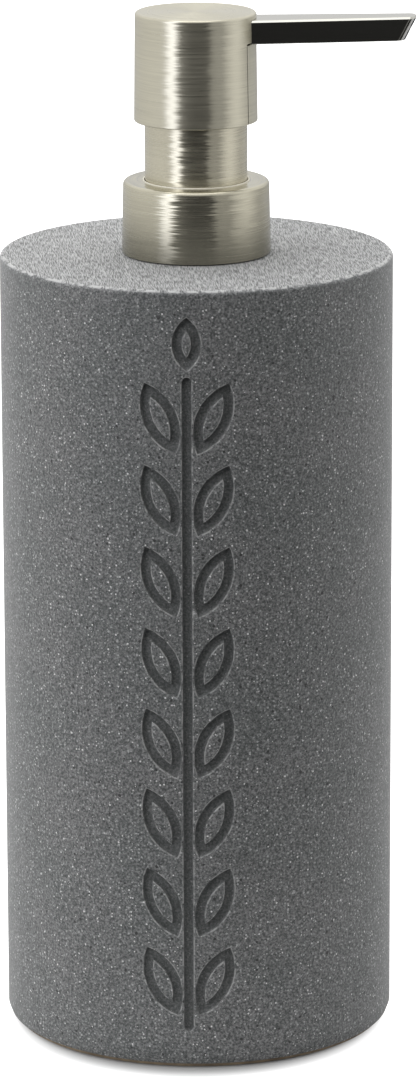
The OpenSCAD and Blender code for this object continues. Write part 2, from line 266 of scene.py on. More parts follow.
class Graph:
    """Short names for building a node material."""

    def __init__(self, name):
        self.material = bpy.data.materials.new(name)
        self.material.use_nodes = True
        self.tree = self.material.node_tree
        self.shader = self.tree.nodes["Principled BSDF"]
        self.place = self.add("ShaderNodeTexCoord").outputs["Object"]

    def add(self, kind, **settings):
        """A new node."""
        node = self.tree.nodes.new(kind)
        for key, value in settings.items():
            setattr(node, key, value)
        return node

    def put(self, value, socket):
        """Links a socket, or sets a constant. None leaves the input alone."""
        if isinstance(value, bpy.types.NodeSocket):
            self.tree.links.new(value, socket)
        elif value is not None:
            socket.default_value = value

    def math(self, operation, a, b=None):
        """One arithmetic step."""
        node = self.add("ShaderNodeMath", operation=operation)
        for i, value in enumerate((a, b)):
            self.put(value, node.inputs[i])
        return node.outputs[0]

    def step(self, value, low, high, to_low=0.0, to_high=1.0):
        """Smooth ramp of value from low to high."""
        node = self.add("ShaderNodeMapRange", interpolation_type="SMOOTHSTEP")
        for key, v in (("Value", value), ("From Min", low), ("From Max", high),
                       ("To Min", to_low), ("To Max", to_high)):
            self.put(v, node.inputs[key])
        return node.outputs["Result"]

    def product(self, first, *others):
        """Product of two or more values."""
        for other in others:
            first = self.math("MULTIPLY", first, other)
        return first

    def distance_xy(self, x, y):
        """Length of (x, y)."""
        return self.math("SQRT", self.math("ADD", self.product(x, x), self.product(y, y)))

    def scaled(self, vector, scale):
        """Vector with each part multiplied."""
        node = self.add("ShaderNodeVectorMath", operation="MULTIPLY")
        self.put(vector, node.inputs[0])
        node.inputs[1].default_value = scale
        return node.outputs[0]

    def noise(self, vector, scale, detail=2.0, rough=0.5):
        """Smooth noise from 0 to 1."""
        node = self.add("ShaderNodeTexNoise")
        self.put(vector, node.inputs["Vector"])
        node.inputs["Scale"].default_value = scale
        node.inputs["Detail"].default_value = detail
        node.inputs["Roughness"].default_value = rough
        return node.outputs["Fac"]

    def cells(self, vector, scale):
        """Voronoi distance to the nearest point, and that cell's random colour."""
        node = self.add("ShaderNodeTexVoronoi")
        self.put(vector, node.inputs["Vector"])
        node.inputs["Scale"].default_value = scale
        split = self.add("ShaderNodeSeparateColor")
        self.tree.links.new(node.outputs["Color"], split.inputs[0])
        return node.outputs["Distance"], split.outputs

    def xyz(self, vector):
        """The three parts of a vector."""
        node = self.add("ShaderNodeSeparateXYZ")
        self.put(vector, node.inputs[0])
        return node.outputs

    def joined(self, x, y, z):
        """Vector of three parts."""
        node = self.add("ShaderNodeCombineXYZ")
        for i, value in enumerate((x, y, z)):
            self.put(value, node.inputs[i])
        return node.outputs[0]

    def mix(self, factor, a, b, blend="MIX"):
        """Colour that goes from a to b with factor."""
        node = self.add("ShaderNodeMix", data_type="RGBA", blend_type=blend)
        self.put(factor, node.inputs[0])
        self.put(a, node.inputs[6])
        self.put(b, node.inputs[7])
        return node.outputs[2]

    def bump(self, height, strength, distance, normal=None):
        """Normal of a surface with small heights, distance in metres."""
        node = self.add("ShaderNodeBump")
        node.inputs["Strength"].default_value = strength
        node.inputs["Distance"].default_value = distance
        self.put(height, node.inputs["Height"])
        self.put(normal, node.inputs["Normal"])
        return node.outputs[0]

    def set(self, **sockets):
        """Sets or links the shader's sockets. An underscore stands for a space."""
        for key, value in sockets.items():
            self.put(value, self.shader.inputs[key.replace("_", " ")])


def grey(level):
    """Opaque grey."""
    return (level, level, level, 1)


# ---------------------------------------------------------------- materials

def stone_flecks(g, scale, share, low, high, pick):
    """Round flecks: cells per metre, the share of cells with one, and radii from low to high cells."""
    distance, chance = g.cells(g.place, scale)
    spot = g.math("LESS_THAN", distance, g.step(chance[1], 0.0, 1.0, low, high))
    return g.product(spot, g.math("GREATER_THAN", chance[pick], 1 - share))


def stone_scratches(g, lean, width, length, low, high):
    """Scratches that run from front to back, turned by lean degrees, of a width and length in metres."""
    mapping = g.add("ShaderNodeMapping")
    g.put(g.place, mapping.inputs["Vector"])
    mapping.inputs["Rotation"].default_value[2] = math.radians(lean)
    stretched = g.scaled(mapping.outputs[0], (1 / width, 1 / length, 100))
    return g.step(g.noise(stretched, 1, 2, 0.6), low, high)


def stone_binder(g, grain):
    """The grey binder: a little cloudy, with darker and paler grains."""
    cloud = g.noise(g.place, 70, 3)
    colour = g.mix(g.step(cloud, 0.3, 0.7), (0.158, 0.166, 0.165, 1), (0.190, 0.191, 0.192, 1))
    colour = g.mix(g.step(grain, 0.36, 0.56), (0.055, 0.060, 0.060, 1), colour)
    return g.mix(g.product(g.step(grain, 0.52, 0.66), 0.6), colour, (0.38, 0.385, 0.385, 1))


def stone_speckles(g, colour, z, carved):
    """Pale, bright and dark flecks over a colour, fainter near the top's rim and in the engraving."""
    near_rim = g.step(z, (BODY_HI - 3.6) * MM, (BODY_HI - 1.2) * MM)
    calm = g.math("SUBTRACT", 1.0, g.product(near_rim, 0.65))
    calm = g.product(calm, g.math("SUBTRACT", 1.0, g.product(carved, 0.60)))
    pale = g.product(stone_flecks(g, 1600, 0.42, 0.16, 0.34, 0), calm)
    bright = g.product(stone_flecks(g, 1400, 0.25, 0.10, 0.26, 2), calm)
    dark = g.product(stone_flecks(g, 1000, 0.14, 0.14, 0.30, 0), calm)
    colour = g.mix(g.product(pale, 0.75), colour, (0.50, 0.505, 0.505, 1))
    colour = g.mix(g.product(dark, 0.9), colour, (0.022, 0.022, 0.022, 1))
    return g.mix(bright, colour, (0.78, 0.78, 0.78, 1))


def stone_sanded(g, scratch):
    """Colour of the sanded top: fine scratches under a few long ones."""
    fine = stone_scratches(g, -7, 0.00014, 0.0030, 0.39, 0.61)
    colour = g.mix(fine, (0.030, 0.032, 0.032, 1), (0.345, 0.349, 0.349, 1))
    return g.mix(g.product(scratch, 0.7), colour, (0.50, 0.50, 0.495, 1))


def stone_edge_highlights(g, z, carved):
    """Painted highlight: a broken pale line along the top's edge and the engraving's edges, where these edges
    catch the light.
    """
    x, y, _ = g.xyz(g.place)
    outer = g.step(g.distance_xy(x, y), (BODY_R - 1.0) * MM, (BODY_R - 0.7) * MM)
    rim = g.product(outer, g.step(z, (BODY_HI - 0.40) * MM, (BODY_HI - 0.22) * MM))
    rim = g.product(rim, g.step(g.noise(g.place, 620, 3, 0.7), 0.44, 0.56))
    shoulder = g.product(g.step(carved, 0.004, 0.03), g.step(carved, 0.12, 0.30, 1.0, 0.0))
    shoulder = g.product(shoulder, g.step(g.noise(g.place, 900, 2), 0.36, 0.60))
    return g.math("MAXIMUM", g.product(rim, 0.8), g.product(shoulder, 0.65))


def stone_material():
    """Cast stone effect. Its vertex attribute "carved" is 1 at the engraving's floor and 0 outside it."""
    g = Graph("speckled_stone")
    z = g.xyz(g.place)[2]
    carved = g.add("ShaderNodeAttribute", attribute_name="carved").outputs["Fac"]
    grain = g.noise(g.place, 2300, 3, 0.7)
    on_top = g.step(z, (BODY_HI - 0.30) * MM, (BODY_HI - 0.06) * MM)
    scratch = g.product(stone_scratches(g, -10, 0.00020, 0.0070, 0.56, 0.70), 0.55)
    scratch = g.math("MAXIMUM", scratch, stone_scratches(g, -8, 0.00026, 0.0300, 0.655, 0.685))

    colour = stone_speckles(g, stone_binder(g, grain), z, carved)
    colour = g.mix(on_top, colour, stone_sanded(g, scratch))
    # Painted highlight along the top's rim and the engraving's edges.
    colour = g.mix(stone_edge_highlights(g, z, carved), colour, (0.46, 0.46, 0.455, 1))
    # Painted shade: the engraving's floor is darkened, where shade falls in the groove.
    colour = g.mix(g.step(carved, 0.2, 0.6, 0.0, 0.52), colour, (0.066, 0.072, 0.070, 1))

    height = g.math("ADD", g.product(grain, 0.7), g.product(g.noise(g.place, 520, 2), 0.6))
    height = g.math("ADD", height, g.product(scratch, on_top, 0.4))
    roughness = g.math("MAXIMUM", g.step(grain, 0.3, 0.7, 0.50, 0.74), g.product(on_top, 0.88))
    g.set(Base_Color=colour, Roughness=roughness, Normal=g.bump(height, 0.35, 0.00012),
          Specular_IOR_Level=0.6, Sheen_Weight=0.22, Sheen_Roughness=0.45)
    return g.material


def round_lines(g, along, across):
    """Place for noise that runs round the axis, in waves per metre along and across the lines."""
    x, y, z = g.xyz(g.place)
    depth = g.math("SUBTRACT", z, g.distance_xy(x, y))
    return g.joined(g.product(x, along), g.product(y, along), g.product(depth, across))


def wavering_normal(g, tangent, amount):
    """The surface's normal, turned a little along the tangent from line to line."""
    sway = g.math("SUBTRACT", g.noise(round_lines(g, 150, 3600), 1, 0, 0.6), 0.5)
    lean = g.add("ShaderNodeVectorMath", operation="SCALE")
    g.put(tangent, lean.inputs[0])
    g.put(g.product(sway, amount), lean.inputs["Scale"])
    total = g.add("ShaderNodeVectorMath", operation="ADD")
    g.put(lean.outputs[0], total.inputs[0])
    g.put(g.add("ShaderNodeNewGeometry").outputs["Normal"], total.inputs[1])
    unit = g.add("ShaderNodeVectorMath", operation="NORMALIZE")
    g.put(total.outputs[0], unit.inputs[0])
    return unit.outputs[0]


def brushed_material(name, base, rough, line_depth=0.20, lengthwise=False, aniso=0.75, tint=0.07,
                     waver=0.0, foot=None, polished_above=None):
    """Brushed metal. The lines run round the axis, or lengthwise along x.

    tint is how much the lines differ in brightness.
    waver turns each line a little about the axis, so that reflections fray along the brushing.
    foot is a (low, high) height in mm over which painted shade darkens the metal towards its foot.
    polished_above is a height in mm above which the metal is smoother.
    """
    g = Graph(name)
    z = g.xyz(g.place)[2]
    if lengthwise:
        fine_place = g.scaled(g.place, (30, 5200, 5200))
        broad_place = g.scaled(g.place, (14, 900, 900))
    else:
        fine_place = round_lines(g, 60, 5200)
        broad_place = round_lines(g, 30, 2100)
    fine = g.noise(fine_place, 1, 3, 0.7)
    broad = g.noise(broad_place, 1, 2, 0.6)
    lines = g.math("ADD", g.product(fine, 0.65), g.product(broad, 0.35))
    dark = tuple(c * (1 - tint) for c in base) + (1,)
    light = tuple(min(1, c * (1 + tint)) for c in base) + (1,)
    colour = g.mix(g.step(lines, 0.36, 0.64), dark, light)
    # Painted shade: the metal's colour darkens towards its foot.
    if foot:
        shade = g.step(z, foot[0] * MM, foot[1] * MM, 0.45, 1.0)
        colour = g.mix(1.0, colour, g.joined(shade, shade, shade), "MULTIPLY")
    tangent = g.add("ShaderNodeTangent", direction_type="RADIAL", axis="X" if lengthwise else "Z").outputs[0]
    normal = wavering_normal(g, tangent, waver) if waver else None
    roughness = g.step(lines, 0.3, 0.7, rough * 0.85, rough * 1.15)
    if polished_above:
        shine = g.step(z, (polished_above - 0.1) * MM, polished_above * MM, 1.0, 0.5)
        roughness = g.product(roughness, shine)
    g.set(Base_Color=colour, Roughness=roughness, Normal=g.bump(lines, line_depth, 0.00002, normal),
          Tangent=tangent, Metallic=1.0, Anisotropic=aniso, Anisotropic_Rotation=0.25)
    return g.material


def plastic_material(name, base, rough, see_through=0.0, bump=0.15, specular=0.5):
    """Moulded plastic or rubber with a faint grain."""
    g = Graph(name)
    grain = g.noise(g.place, 900, 3, 0.6)
    shade = g.noise(g.place, 60, 2)
    dark = tuple(c * 0.93 for c in base) + (1,)
    g.set(Base_Color=g.mix(g.step(shade, 0.3, 0.7), dark, tuple(base) + (1,)),
          Roughness=g.step(grain, 0.3, 0.7, rough * 0.85, min(1, rough * 1.15)),
          Normal=g.bump(grain, bump, 0.00003),
          Transmission_Weight=see_through, Specular_IOR_Level=specular)
    return g.material


def foam_material():
    """Brown foam with fine cells."""
    g = Graph("foam_pad")
    distance, _ = g.cells(g.place, 2200)
    shade = g.noise(g.place, 300, 3)
    colour = g.mix(g.step(shade, 0.3, 0.7), (0.20, 0.15, 0.10, 1), (0.36, 0.28, 0.19, 1))
    g.set(Base_Color=colour, Roughness=g.step(shade, 0.3, 0.7, 0.8, 0.95),
          Normal=g.bump(distance, 0.6, 0.0001))
    return g.material


STONE = stone_material()
METAL = brushed_material("brushed_champagne", (0.61, 0.58, 0.47), 0.31, aniso=0.80, waver=0.13)
SLEEVE_METAL = brushed_material("brushed_champagne_sleeve", (0.61, 0.575, 0.46), 0.28, aniso=0.80, waver=0.20)
# The collar's copy of the metal has a darker base than the head's, painted shade, and painted shade darkens
# it further towards its foot.
COLLAR_METAL = brushed_material("brushed_champagne_collar", (0.57, 0.54, 0.43), 0.25, aniso=0.80,
                                waver=0.28, foot=(collar_lo.z - 3, collar_hi.z - 0.5),
                                polished_above=collar_hi.z - 0.05)
# Painted highlight: the bead's pale colour stands in for the bright line of light along it.
BEAD_PAINTED_HIGHLIGHT = brushed_material("bead_painted_highlight", (0.86, 0.83, 0.74), 0.55, 0.05, aniso=0.0, tint=0.03)
FILLER = brushed_material("brushed_filler", (0.62, 0.595, 0.49), 0.34)
BAR = brushed_material("polished_nozzle", (0.56, 0.55, 0.50), 0.10, 0.05, lengthwise=True, aniso=0.3,
                       tint=0.03)
# Painted shade and painted highlight on the nozzle's end: a black end face and a pale rim.
NOZZLE_END_PAINTED_SHADE = plastic_material("nozzle_end_painted_shade", (0.02, 0.02, 0.02), 0.95, specular=0.05)
NOZZLE_RIM_PAINTED_HIGHLIGHT = plastic_material("nozzle_rim_painted_highlight", (0.95, 0.94, 0.92), 0.35)
WHITE = plastic_material("white_plastic", (0.80, 0.80, 0.78), 0.42)
CLEAR = plastic_material("clear_plastic", (0.86, 0.88, 0.88), 0.28, 0.4)
DARK = plastic_material("dark_plastic", (0.05, 0.05, 0.05), 0.45)
RUBBER = plastic_material("seal_rubber", (0.62, 0.62, 0.60), 0.6, bump=0.3)
RESIN = plastic_material("dark_resin", (0.07, 0.07, 0.07), 0.6, bump=0.4)
BALL = brushed_material("valve_ball_steel", (0.66, 0.66, 0.67), 0.12, 0.05, aniso=0.0, tint=0.03)
WIRE = brushed_material("spring_wire", (0.58, 0.58, 0.58), 0.25, 0.15, aniso=0.3, tint=0.06)
FOAM = foam_material()


# ---------------------------------------------------------------- bottle

STROKE = 1.8                                   # width of the engraved line
CARVE = 1.0                                    # and its depth
LEAF_L = 14.5
LEAF_W = 6.4
LEAF_TILT = math.radians(24)
LEAF_PAIRS = 8
LEAF_X = 5.0                                   # of a leaf's middle, from the stem's
SPRIG_LO = 7.5
SPRIG_HI = BODY_HI - 5
BUD_L = 10.0
BUD_W = 5.4
BUD_GAP = 1.3
STEM_TOP = SPRIG_HI - BUD_L - BUD_GAP
BARE_STEM = 2                                  # below the lowest leaves' share of the stem
LEAF_PITCH = (STEM_TOP - SPRIG_LO - BARE_STEM) / LEAF_PAIRS
# The groove's wall: distance outside its edge, and share of the full depth there
WALL = ((0.30, 0.0), (0.05, 0.09), (-0.05, 0.80), (-0.22, 1.0))
WOBBLE = 0.07                                  # unevenness of the cast edge
WOBBLE_SEED = 1                                # without one, the noise is set by the clock

COLUMNS = 240                                  # of the grid round the bottle's side
ROWS = 75
PANEL_HALF = 11                                # columns of the front panel, each side of its middle
CLEAR_OF_EDGE = 0.6                            # grid points closer than this to a groove's edge go
SIDE_LO = BODY_LO + BODY_EDGE + 0.3
SIDE_HI = BODY_HI - BODY_EDGE - 0.3
LEVELS = [SIDE_LO + (SIDE_HI - SIDE_LO) * j / ROWS for j in range(ROWS + 1)]


def leaf_places():
    """(x, z, lean, length, width) of every leaf, and last the bud."""
    out = []
    for i in range(LEAF_PAIRS):
        for side in (-1, 1):
            z = SPRIG_LO + BARE_STEM + (i + 0.5) * LEAF_PITCH
            out.append((side * LEAF_X, z, -side * LEAF_TILT, LEAF_L, LEAF_W))
    out.append((0, SPRIG_HI - BUD_L / 2, 0.0, BUD_L, BUD_W))
    return out


def lens(length, width):
    """Radius of a leaf's two arcs, and how far each arc's centre lies from the leaf's middle."""
    arc = (length ** 2 + width ** 2) / (4 * width)
    return arc, arc - width / 2


def lens_loop(leaf, inset, per_side=26):
    """Closed outline of a leaf, its two arcs moved inwards by inset."""
    x0, z0, lean, length, width = leaf
    arc, off = lens(length, width)
    r = arc - inset
    top = math.acos(off / r)
    c, s = math.cos(lean), math.sin(lean)
    points = []
    for side in (1, -1):
        for k in range(per_side):
            t = side * (-top + 2 * top * k / per_side)
            u = side * (r * math.cos(t) - off)
            v = r * math.sin(t)
            points.append((x0 + u * c - v * s, z0 + u * s + v * c))
    return points


STEM_ENDS = (SPRIG_LO + STROKE / 2, STEM_TOP - STROKE / 2)


def stem_loop(outset, per_end=14, per_side=120):
    """Closed outline of the sprig's stem, a long slot with round ends."""
    r = STROKE / 2 + outset
    low, high = STEM_ENDS
    arc = [(r * math.cos(math.pi * k / per_end), r * math.sin(math.pi * k / per_end)) for k in range(per_end)]
    points = [(r, low + (high - low) * k / per_side) for k in range(per_side)]
    points += [(x, high + z) for x, z in arc]
    points += [(-r, high + (low - high) * k / per_side) for k in range(per_side)]
    points += [(-x, low - z) for x, z in arc]
    return points


def groove_distance(x, z):
    """Signed distance from a point to the engraved line, below 0 inside it."""
    low, high = STEM_ENDS
    best = math.hypot(x, z - max(low, min(high, z))) - STROKE / 2
    for x0, z0, lean, length, width in LEAVES:
        dx, dz = x - x0, z - z0
        if dx * dx + dz * dz > length * length:
            continue
        c, s = math.cos(-lean), math.sin(-lean)
        u, v = dx * c - dz * s, dx * s + dz * c
        arc, off = lens(length, width)
        edge = max(math.hypot(u + off, v), math.hypot(u - off, v)) - arc
        best = min(best, abs(edge + STROKE / 2) - STROKE / 2)
    return best


LEAVES = leaf_places()


def panel_grid():
    """The front panel's grid: its (along, z) points, their depths, and which points are its border."""
    pitch = 2 * math.pi * BODY_R / COLUMNS
    points, depths, border = [], [], {}
    for j, z in enumerate(LEVELS):
        for k in range(-PANEL_HALF, PANEL_HALF + 1):
            on_border = j in (0, ROWS) or abs(k) == PANEL_HALF
            gap = groove_distance(k * pitch, z)
            if not on_border and abs(gap) < CLEAR_OF_EDGE:
                continue
            if on_border:
                border[(k, j)] = len(points)
            points.append((k * pitch, z))
            depths.append(CARVE if gap < 0 else 0.0)
    return points, depths, border


def border_edges(border):
    """The panel's border as edges between its points, once round."""
    ring = [(k, 0) for k in range(-PANEL_HALF, PANEL_HALF)]
    ring += [(PANEL_HALF, j) for j in range(ROWS)]
    ring += [(k, ROWS) for k in range(PANEL_HALF, -PANEL_HALF, -1)]
    ring += [(-PANEL_HALF, j) for j in range(ROWS, 0, -1)]
    return [(border[a], border[b]) for a, b in zip(ring, ring[1:] + ring[:1])]


def groove_loops():
    """Every outline on the groove's wall, with its depth."""
    loops = []
    for outset, share in WALL:
        loops.append((stem_loop(outset), share * CARVE))
        for leaf in LEAVES:
            loops.append((lens_loop(leaf, -outset), share * CARVE))
            loops.append((lens_loop(leaf, STROKE + outset, 18), share * CARVE))
    return loops


def front_panel():
    """The panel, triangulated so that every groove edge is followed.

    Gives (along, z, depth) points, triangles, and the points at the side grid's (column, row) places.
    """
    points, depths, border = panel_grid()
    edges = border_edges(border)
    noise.seed_set(WOBBLE_SEED)
    for loop, depth in groove_loops():
        start = len(points)
        for x, z in loop:
            wobble = noise.noise_vector(Vector((x * 1.3, z * 1.3, 4.0)))
            points.append((x + wobble.x * WOBBLE, z + wobble.y * WOBBLE))
            depths.append(depth)
        edges.extend((start + i, start + (i + 1) % len(loop)) for i in range(len(loop)))
    flat_points = [Vector(p) for p in points]
    flat, _, triangles, origin, _, _ = geometry.delaunay_2d_cdt(flat_points, edges, [], 1, 1e-5)
    made = [(v.x, v.y, depths[source[0]] if source else 0.0) for v, source in zip(flat, origin)]
    placed = {source: i for i, many in enumerate(origin) for source in many}
    index = {(k % COLUMNS, j): placed[source] for (k, j), source in border.items()}
    return made, triangles, index


def bottle_section():
    """The rest of the section, between the side's top edge and its bottom edge.

    It goes over the rim, down the neck hole, round the cavity and out through the plug's seat.
    """
    seat_r = plug_hi.x + PLUG_GAP
    corners = [(BODY_R, BODY_LO, 0), (BODY_R, BODY_HI, 0.8), (NECK_HOLE_R, BODY_HI, 0.4),
               (NECK_HOLE_R, CEILING, 0.4), (CAVITY_R, CEILING, 3), (CAVITY_R, plug_hi.z, 0),
               (seat_r, plug_hi.z, 0), (seat_r, BODY_LO, 0.3), (BODY_R, BODY_LO, 0.5)]
    return filleted(corners, 7)[1:]


def make_bottle():
    """The cast bottle: the engraved panel, the plain side round from it, and the turned rest."""
    verts, carved, faces = [], [], []

    def add(angle, r, z, depth=0.0):
        """New vertex at an angle from the front, to the right."""
        verts.append((r * math.sin(angle), -r * math.cos(angle), z))
        carved.append(depth / CARVE)
        return len(verts) - 1

    panel, triangles, index = front_panel()
    for along, z, depth in panel:
        add(along / BODY_R, BODY_R - depth, z, depth)
    faces += [tuple(t) for t in triangles]

    def grid(k, j):
        """Vertex of the side's grid, made when it is first asked for."""
        key = (k % COLUMNS, j)
        if key not in index:
            index[key] = add(2 * math.pi * k / COLUMNS, BODY_R, LEVELS[j])
        return index[key]

    for k in range(PANEL_HALF, COLUMNS - PANEL_HALF):
        for j in range(ROWS):
            faces.append((grid(k, j), grid(k + 1, j), grid(k + 1, j + 1), grid(k, j + 1)))

    rings = [[grid(k, ROWS) for k in range(COLUMNS)]]
    for r, z in bottle_section():
        rings.append([add(2 * math.pi * k / COLUMNS, r, z) for k in range(COLUMNS)])
    rings.append([grid(k, 0) for k in range(COLUMNS)])
    for high, low in zip(rings, rings[1:]):
        for k in range(COLUMNS):
            m = (k + 1) % COLUMNS
            faces.append((high[k], high[m], low[m], low[k]))
    piece = new_piece("stone_bottle", verts, faces, STONE, "bottle", "stone", ["bottle_shell"])
    layer = piece.data.attributes.new("carved", "FLOAT", "POINT")
    layer.data.foreach_set("value", np.array(carved, np.float32))
    return smooth(piece, 60)


def make_pad():
    """Thin foam disc under the bottle."""
    outline = filleted([(0, 0, 0), (PAD_R, 0, 0.2), (PAD_R, BODY_LO, 0.2), (0, BODY_LO, 0)], 3)
    piece = new_piece("foam_base_pad", *turned(outline, 128), FOAM, "bottle", "foot_pad", ["base_pad"])
    return smooth(piece)


# ---------------------------------------------------------------- pump

def make_collar():
    """Turned collar with a fine bead round its bore; the bead's pale colour is a painted highlight."""
    bore = SLEEVE_R + 0.12
    bead = 0.30                                # its width
    outline = filleted([
        (NUT_R, collar_lo.z, 0.1), (COLLAR_R, collar_lo.z, 0.15), (COLLAR_TOP_R, collar_hi.z, 0.8),
        (bore + bead, collar_hi.z, 0), (bore + bead, collar_hi.z + BEAD_H, 0.12),
        (bore, collar_hi.z + BEAD_H, 0.12),
        (bore, NUT_TOP, 0.05), (NUT_R, NUT_TOP, 0.3)], 6)
    piece = new_piece("metal_collar", *turned(outline, 192), COLLAR_METAL, "closure",
                      "brushed_metal", ["collar_shell"])
    # The bead's faces get the pale painted highlight.
    piece.data.materials.append(BEAD_PAINTED_HIGHLIGHT)
    for face in piece.data.polygons:
        if face.center.z > (collar_hi.z + 0.005) * MM:
            face.material_index = 1
    return smooth(piece, 50)


def make_sleeve():
    """Plain metal tube between the collar and the head."""
    inner = SLEEVE_R - SLEEVE_WALL
    outline = filleted([(inner, sleeve_lo.z, 0.08), (SLEEVE_R, sleeve_lo.z, 0.15),
                        (SLEEVE_R, sleeve_hi.z, 0.2), (inner, sleeve_hi.z, 0.08)], 4)
    piece = new_piece("metal_sleeve", *turned(outline, 160), SLEEVE_METAL, "pump_unit",
                      "brushed_metal", ["riser_sleeve"])
    return smooth(piece, 50)


def make_head():
    """Turned metal cap with a slot for the filler strip and a port for the nozzle."""
    outline = filleted([
        (0, head_hi.z, 0), (HEAD_TOP_R, head_hi.z, 0.5), (HEAD_R, head_lo.z, 0.22),
        (CORE_R, head_lo.z, 0.12), (CORE_R, head_hi.z - HEAD_ROOF, 0.3),
        (0, head_hi.z - HEAD_ROOF, 0)], 7)
    piece = new_piece("metal_head", *turned(outline, 192), METAL, "head", "brushed_metal", ["head_shell"])
    cut_slot(piece)
    cut_port(piece)
    return smooth(piece, 40)


def cut_slot(piece):
    """The slot in the head's wall, a seam wider than the strip all round and open below."""
    half = filler_hi.y + SEAM
    top = filler_hi.z + 0.05 + SEAM
    foot = head_lo.z - 1
    rim = filleted([(-half, foot, 0), (half, foot, 0), (half, top, 0.4), (-half, top, 0.4)], 5)
    inside, outside = 5, HEAD_R + 2
    boolean_cut(piece, *along_x(rim, inside, outside))


def cut_port(piece):
    """The opening for the nozzle, close round it, with more room below."""
    side, under, over = 0.1, 0.3, 0.05
    verts, faces = block((-6, -NOZZLE_W / 2 - side, -NOZZLE_T / 2 - under),
                         (4, NOZZLE_W / 2 + side, NOZZLE_T / 2 + over))
    boolean_cut(piece, in_nozzle_frame(verts), faces)


def make_filler():
    """The strip that closes the head's slot below the nozzle, curved with the head."""
    steps = 24
    half = filler_hi.y
    verts, faces = [], []
    skin = HEAD_R - FILLER_SUNK
    for z, r in ((filler_lo.z + 0.05, skin), (filler_hi.z, skin - FILLER_LEAN)):
        for radius in (r, CORE_R + 0.02):
            a = math.asin(half / radius)
            for k in range(steps + 1):
                t = -a + 2 * a * k / steps
                verts.append((radius * math.cos(t), radius * math.sin(t), z))
    n = steps + 1
    outer_lo, inner_lo, outer_hi, inner_hi = (range(i * n, (i + 1) * n) for i in range(4))
    for k in range(steps):
        faces.append((outer_lo[k], outer_lo[k + 1], outer_hi[k + 1], outer_hi[k]))
        faces.append((inner_lo[k + 1], inner_lo[k], inner_hi[k], inner_hi[k + 1]))
        faces.append((outer_lo[k + 1], outer_lo[k], inner_lo[k], inner_lo[k + 1]))
        faces.append((outer_hi[k], outer_hi[k + 1], inner_hi[k + 1], inner_hi[k]))
    for k in (0, steps):
        faces.append((outer_lo[k], outer_hi[k], inner_hi[k], inner_lo[k]))
    piece = new_piece("slot_filler_strip", verts, faces, FILLER, "head", "filler_metal", ["slot_filler"])
    bevel_sharp(piece, 0.10, 2)
    return smooth(piece, 50)


def nozzle_ring(z, inset):
    """Outline of the nozzle at height z, moved inwards by inset. The end leans back below the top."""
    taper = (NOZZLE_W - NOZZLE_TIP_W) / (2 * BAR_L)
    root_half = NOZZLE_W / 2 + BAR_ROOT * taper - inset
    tip = BAR_L - inset
    tip_half = NOZZLE_TIP_W / 2 - inset + inset * taper
    radius = NOZZLE_CORNER - inset
    back = (NOZZLE_T / 2 - z) * math.tan(NOZZLE_UNDERCUT)
    plan = filleted([(-BAR_ROOT, -root_half, 0), (tip, -tip_half, radius), (tip, tip_half, radius),
                     (-BAR_ROOT, root_half, 0)], 14)
    return [(max(-BAR_ROOT, x - back) if x > -BAR_ROOT else x, y, z) for x, y in plan]


def make_nozzle():
    """Flat tapered bar with rounded corners and an undercut end that holds the outlet."""
    t = NOZZLE_T / 2
    rounded_below = ((-t, 0.16), (-t + 0.05, 0.05), (-t + 0.16, 0))
    bevelled_above = ((t - 0.42, 0), (t - 0.36, 0.02), (t - 0.02, 0.36), (t, 0.42))
    rings = [nozzle_ring(z, inset) for z, inset in rounded_below + bevelled_above]
    n = len(rings[0])
    verts = [v for ring in rings for v in ring]
    faces = []
    for level in range(len(rings) - 1):
        for i in range(n):
            a, b = level * n + i, level * n + (i + 1) % n
            faces.append((a, b, b + n, a + n))
    faces += [tuple(range(n - 1, -1, -1)), tuple(range(len(verts) - n, len(verts)))]
    piece = new_piece("nozzle", in_nozzle_frame(verts), faces, BAR, "head", "brushed_metal", ["nozzle_bar"])
    bore = along_x(circle(LINER_R, 40), -BAR_ROOT - 2, BAR_L + 2)
    boolean_cut(piece, in_nozzle_frame(bore[0]), bore[1])
    paint_nozzle_end_light(piece)
    return smooth(piece, 20)


def paint_nozzle_end_light(piece):
    """Painted shade, a black end face round the outlet, and a painted highlight, a pale rim where it meets
    the rounded corners.
    """
    end_x = NOZZLE_X + BAR_L - 6
    end_turn, rim_turn = 51, 32                # degrees from facing sideways to facing forwards
    piece.data.materials.append(NOZZLE_END_PAINTED_SHADE)
    piece.data.materials.append(NOZZLE_RIM_PAINTED_HIGHLIGHT)
    for face in piece.data.polygons:
        n = face.normal
        turn = math.degrees(math.atan2(n.x, abs(n.y)))
        upright = n.z < 0.3 and math.hypot(n.x, n.y) > 0.6
        if face.center.x < end_x * MM or not upright:
            continue
        if turn > end_turn:
            face.material_index = 1
        elif turn > rim_turn:
            face.material_index = 2


